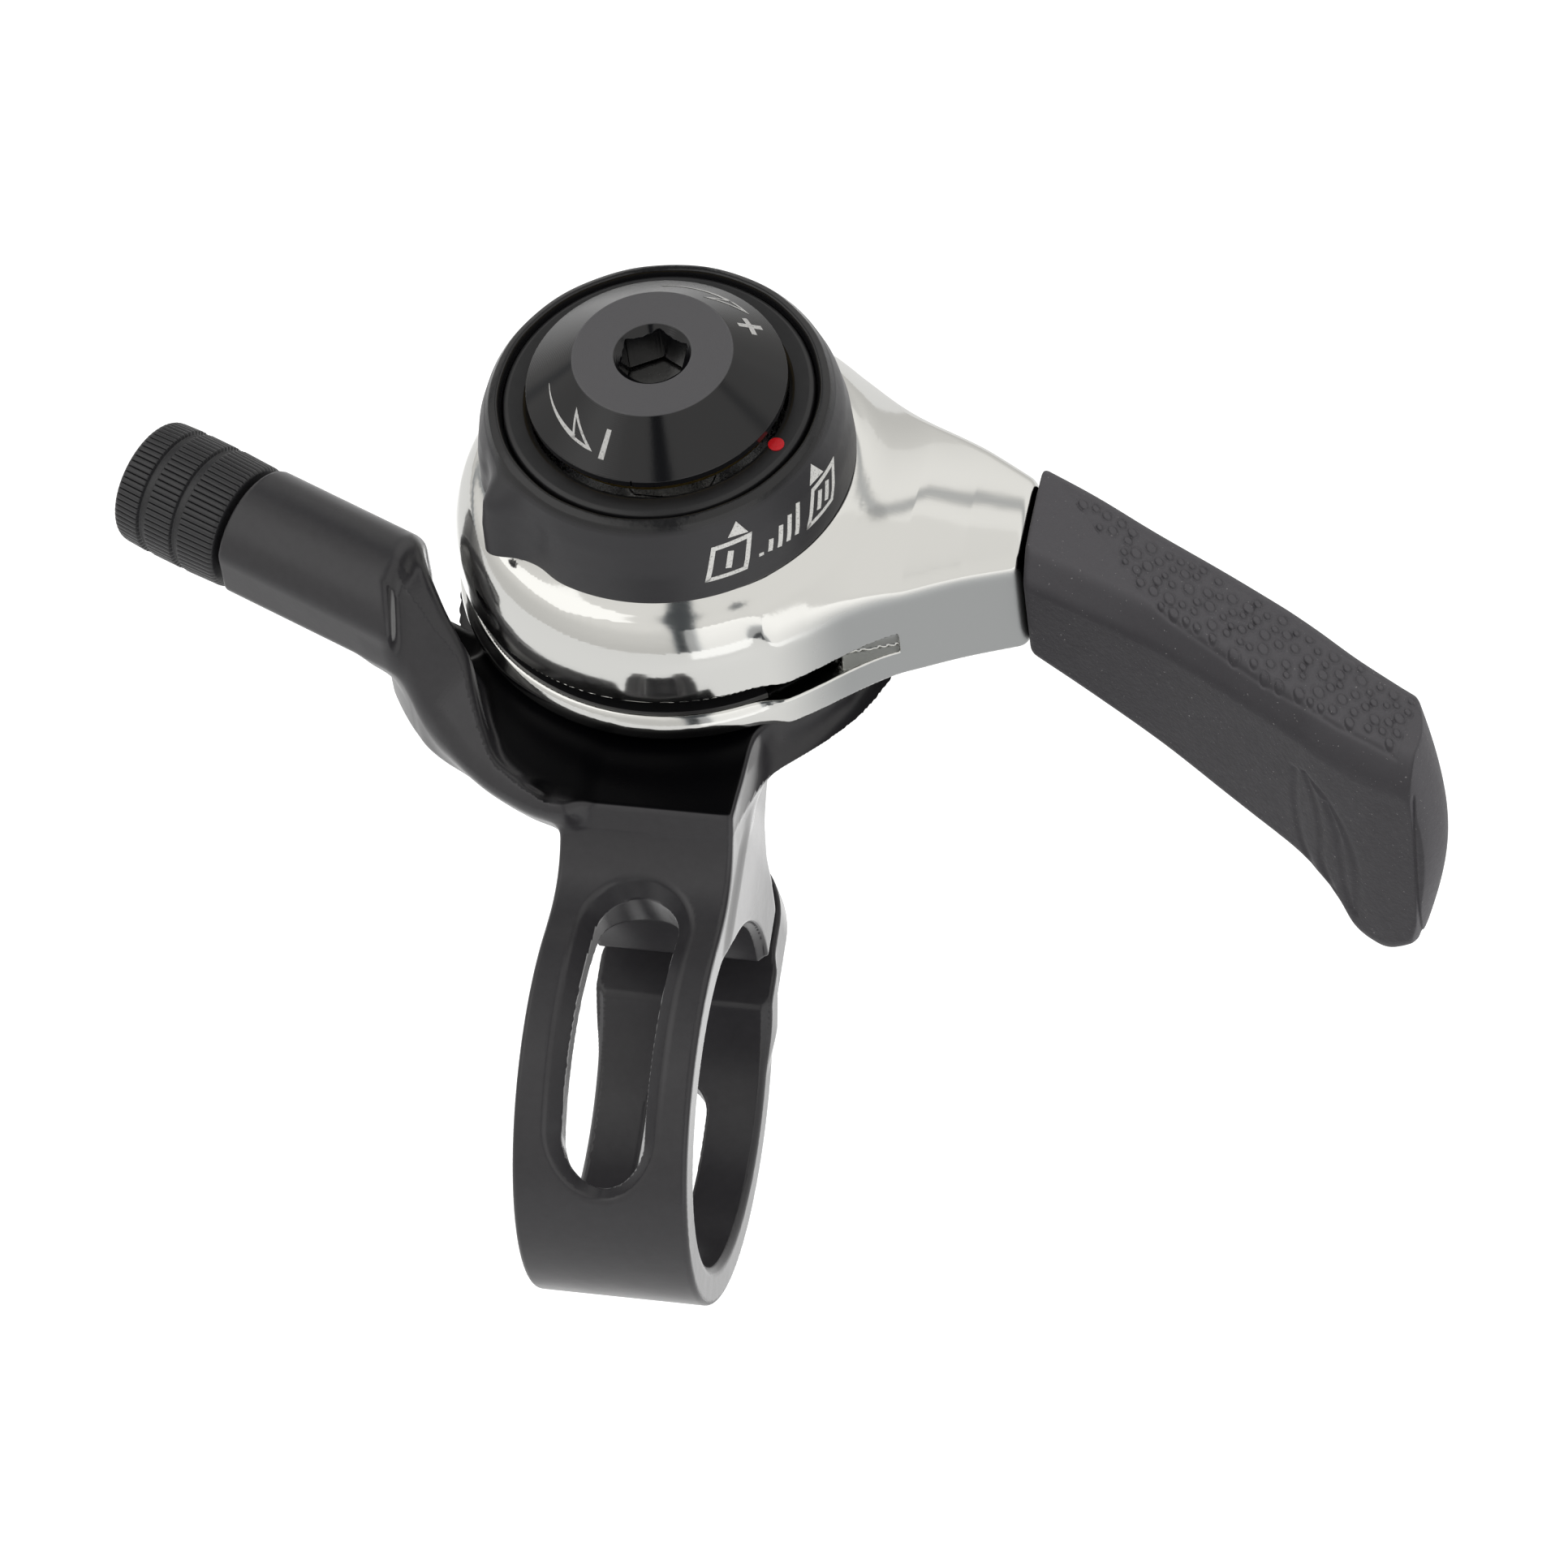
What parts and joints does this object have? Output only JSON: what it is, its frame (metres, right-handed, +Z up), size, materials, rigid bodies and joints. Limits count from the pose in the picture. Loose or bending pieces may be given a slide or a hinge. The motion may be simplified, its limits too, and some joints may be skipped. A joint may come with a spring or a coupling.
{
  "type": "bicycle thumb shifter",
  "caption": "Handlebar thumb shifter with a polished indexed lever, rubber paddle, mode dial, friction cap, one-piece band clamp and a barrel adjuster for the cable.",
  "frame": {"origin": "centre of the handlebar clamp bore, halfway across the band", "axes": "+X along the handlebar towards the lever's tip side, +Y forward away from the rider, +Z up, parallel to the lever's pivot"},
  "size_m": [0.0896, 0.0574, 0.0532],
  "materials": {
    "anodised_black": "satin black anodised forged aluminium with a soft gloss",
    "anodised_cap": "gloss black anodised aluminium, satin on the flat face",
    "polished_aluminium": "polished cast aluminium with fine hairlines, satin on the arm's side",
    "grip_rubber": "matt dark grey moulded rubber",
    "dial_plastic": "satin black moulded plastic",
    "knob_plastic": "satin black ribbed plastic",
    "nylon_black": "black nylon",
    "plate_steel": "bright hardened steel",
    "bolt_steel": "zinc plated steel",
    "brass": "bare brass",
    "red_paint": "bright red enamel"
  },
  "bodies": {
    "bracket": {"clamp_bracket": "anodised_black", "pinch_bolt": "bolt_steel", "bolt_washer": "bolt_steel", "pivot_stud": "bolt_steel", "stop_pin": "bolt_steel", "base_washer": "nylon_black", "index_plate": "plate_steel", "friction_washer": "nylon_black", "detent_spring": "plate_steel", "pressure_plate": "plate_steel", "index_ring": "dial_plastic", "index_dot": "red_paint", "click_ball": "plate_steel", "click_spring": "plate_steel", "wave_washer": "plate_steel", "brass_washer": "brass"},
    "lever": {"lever_body": "polished_aluminium", "lever_grip": "grip_rubber", "cable_track": "nylon_black", "pivot_bush": "brass", "ball_cage": "nylon_black", "detent_balls": "plate_steel"},
    "dial": {"mode_dial": "dial_plastic"},
    "cap": {"cap_nut": "anodised_cap"},
    "adjuster_seat": {"adjuster_ferrule": "nylon_black"},
    "adjuster_barrel": {"barrel_adjuster": "knob_plastic", "adjuster_seal": "grip_rubber"}
  },
  "joints": [
    {"name": "lever_swing", "type": "hinge", "parent": "bracket", "child": "lever", "pos_m": [-0.0011, 0.0291, 0.0213], "axis": [0, 0, 1], "range_deg": [0, 112]},
    {"name": "mode_dial_turn", "type": "hinge", "parent": "bracket", "child": "dial", "pos_m": [-0.0011, 0.0291, 0.032], "axis": [0, 0, 1], "range_deg": [0, 40]},
    {"name": "cap_turn", "type": "hinge", "parent": "bracket", "child": "cap", "pos_m": [-0.0011, 0.0291, 0.038], "axis": [0, 0, 1], "range_deg": [-45, 45]},
    {"name": "adjuster_slide", "type": "slide", "parent": "bracket", "child": "adjuster_seat", "axis": [-0.9153, 0.4027, 0], "range_m": [0, 0.0032]},
    {"name": "barrel_turn", "type": "hinge", "parent": "adjuster_seat", "child": "adjuster_barrel", "pos_m": [-0.03231, 0.0277, 0.0214], "axis": [-0.9153, 0.4027, 0], "range_deg": [0, 1440]}
  ],
  "couplings": [
    {"joint": "barrel_turn", "follows": "adjuster_slide", "rad_per_m": 7854}
  ]
}
